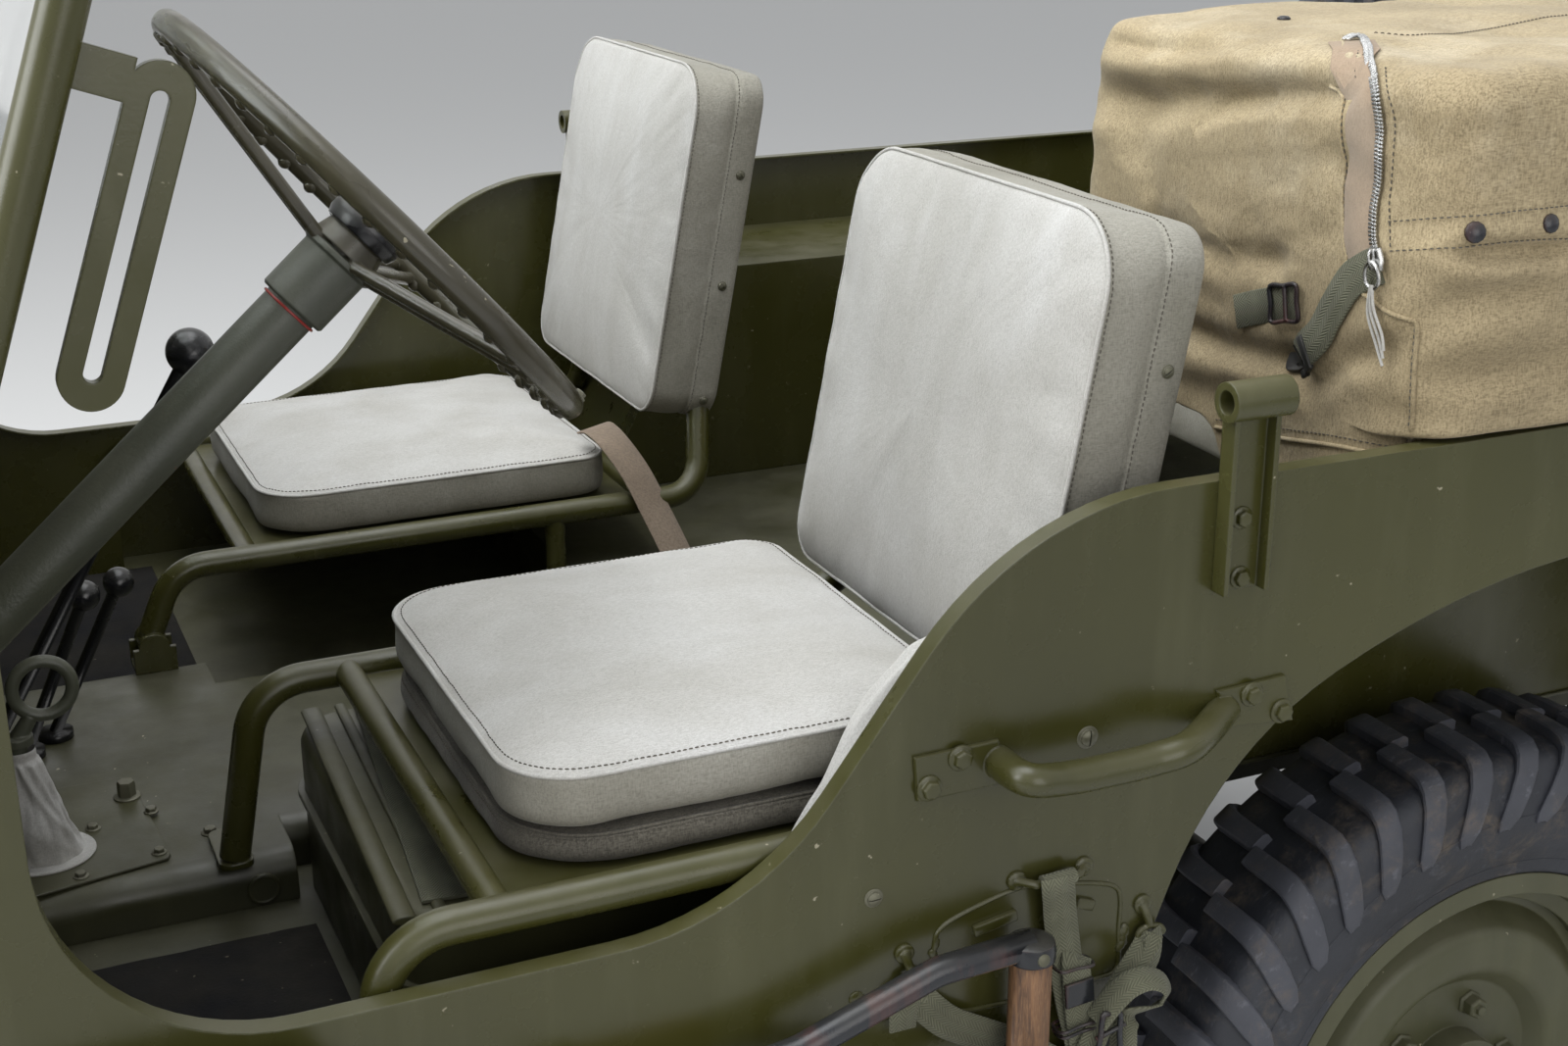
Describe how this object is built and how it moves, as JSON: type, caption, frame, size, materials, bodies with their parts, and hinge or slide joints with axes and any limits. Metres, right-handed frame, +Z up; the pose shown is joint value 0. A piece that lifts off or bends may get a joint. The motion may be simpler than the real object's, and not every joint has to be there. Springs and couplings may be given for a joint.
{
  "type": "light open 4x4 army car",
  "caption": "Small open four-wheel-drive army car with low doorways, a folding windscreen, tube-framed seats, a strapped-on shovel and a rear spare wheel.",
  "frame": {"origin": "middle of the car's box at the ground, where the tyres stand", "axes": "-X to the front, -Y to the car's left side, +Z up"},
  "size_m": [3.3591, 1.574, 1.6524],
  "materials": {
    "olive_paint": "satin",
    "dark_steel": "matte",
    "tyre": "matte",
    "seat_canvas": "matte",
    "tan_canvas": "matte",
    "webbing": "matte",
    "rim_plastic": "glossy",
    "glass": "glossy",
    "lamp_chrome": "glossy",
    "lever_black": "satin",
    "boot_rubber": "matte",
    "tool_enamel": "glossy",
    "lamp_red": "glossy"
  },
  "bodies": {
    "car": {"bow_brackets": "olive_paint", "canvas_cover": "tan_canvas", "chassis_frame": "olive_paint", "cowl": "olive_paint", "drive_shafts": "dark_steel", "driver_cushions": "seat_canvas", "driver_seat_frame": "olive_paint", "engine_block": "dark_steel", "exhaust": "dark_steel", "floor_pan": "olive_paint", "front_axle": "dark_steel", "front_bumper": "olive_paint", "front_fenders": "olive_paint", "fuel_tank": "olive_paint", "gearbox": "dark_steel", "grab_handles": "olive_paint", "grille": "olive_paint", "headlights": "lamp_chrome", "leaf_springs": "dark_steel", "lever_boot": "boot_rubber", "levers": "lever_black", "pedals": "lever_black", "radiator": "dark_steel", "rear_axle": "dark_steel", "rear_hitch": "olive_paint", "rear_panel": "olive_paint", "rear_seat_cushions": "seat_canvas", "rear_seat_frame": "olive_paint", "seat_brackets": "olive_paint", "shovel": "tool_enamel", "side_panels": "olive_paint", "spare_tyre": "tyre", "spare_wheel": "olive_paint", "steering_column": "olive_paint", "tail_lamps": "lamp_red", "tool_straps": "webbing", "tunnel_cover": "olive_paint", "wheelhouses": "olive_paint"},
    "hood": {"hood": "olive_paint"},
    "windscreen": {"windscreen_frame": "olive_paint", "glass_frame": "olive_paint", "windscreen_glass": "glass", "screen_arms": "olive_paint"},
    "passenger_seat": {"passenger_seat_frame": "olive_paint", "passenger_cushions": "seat_canvas"},
    "left_lid": {"left_toolbox_lid": "olive_paint"},
    "right_lid": {"right_toolbox_lid": "olive_paint"},
    "knuckle_left": {"left_knuckle": "dark_steel"},
    "knuckle_right": {"right_knuckle": "dark_steel"},
    "track_rod": {"track_rod": "dark_steel"},
    "steering": {"steering_wheel": "rim_plastic"},
    "front_left": {"tyre_front_left": "tyre", "wheel_front_left": "olive_paint"},
    "front_right": {"tyre_front_right": "tyre", "wheel_front_right": "olive_paint"},
    "rear_left": {"tyre_rear_left": "tyre", "wheel_rear_left": "olive_paint"},
    "rear_right": {"tyre_rear_right": "tyre", "wheel_rear_right": "olive_paint"}
  },
  "joints": [
    {"name": "hood_hinge", "type": "hinge", "parent": "car", "child": "hood", "pos_m": [-0.5895, 0, 1.07], "axis": [0, 1, 0], "range_deg": [0, 115]},
    {"name": "windscreen_hinge", "type": "hinge", "parent": "car", "child": "windscreen", "pos_m": [-0.3275, 0, 1.086], "axis": [0, 1, 0], "range_deg": [-107, 0]},
    {"name": "passenger_seat_hinge", "type": "hinge", "parent": "car", "child": "passenger_seat", "pos_m": [-0.1195, 0.47, 0.632], "axis": [0, 1, 0], "range_deg": [-40, 0]},
    {"name": "left_lid_hinge", "type": "hinge", "parent": "car", "child": "left_lid", "pos_m": [1.2965, -0.615, 0.9183], "axis": [0, -1, 0], "range_deg": [0, 90]},
    {"name": "right_lid_hinge", "type": "hinge", "parent": "car", "child": "right_lid", "pos_m": [1.2965, 0.615, 0.9183], "axis": [0, -1, 0], "range_deg": [0, 90]},
    {"name": "left_kingpin", "type": "hinge", "parent": "car", "child": "knuckle_left", "pos_m": [-1.1275, -0.5045, 0.355], "axis": [0, 0, 1], "range_deg": [-26, 26]},
    {"name": "right_kingpin", "type": "hinge", "parent": "car", "child": "knuckle_right", "pos_m": [-1.1275, 0.5045, 0.355], "axis": [0, 0, 1], "range_deg": [-26, 26]},
    {"name": "track_rod_eye", "type": "hinge", "parent": "knuckle_left", "child": "track_rod", "pos_m": [-0.9775, -0.5045, 0.254], "axis": [0, 0, 1], "range_deg": [-26, 26]},
    {"name": "steering_spin", "type": "hinge", "parent": "car", "child": "steering", "pos_m": [0.0232, -0.3214, 1.1736], "axis": [0.7478, 0, 0.6639], "range_deg": [-364, 364]},
    {"name": "front_left_spin", "type": "hinge", "parent": "knuckle_left", "child": "front_left", "pos_m": [-1.1275, -0.6225, 0.355], "axis": [0, 1, 0], "continuous": true},
    {"name": "front_right_spin", "type": "hinge", "parent": "knuckle_right", "child": "front_right", "pos_m": [-1.1275, 0.6225, 0.355], "axis": [0, 1, 0], "continuous": true},
    {"name": "rear_left_spin", "type": "hinge", "parent": "car", "child": "rear_left", "pos_m": [0.9045, -0.6225, 0.355], "axis": [0, 1, 0], "continuous": true},
    {"name": "rear_right_spin", "type": "hinge", "parent": "car", "child": "rear_right", "pos_m": [0.9045, 0.6225, 0.355], "axis": [0, 1, 0], "continuous": true}
  ],
  "couplings": [
    {"joint": "right_kingpin", "follows": "left_kingpin", "ratio": 1},
    {"joint": "track_rod_eye", "follows": "left_kingpin", "ratio": -1},
    {"joint": "steering_spin", "follows": "left_kingpin", "ratio": 14}
  ]
}
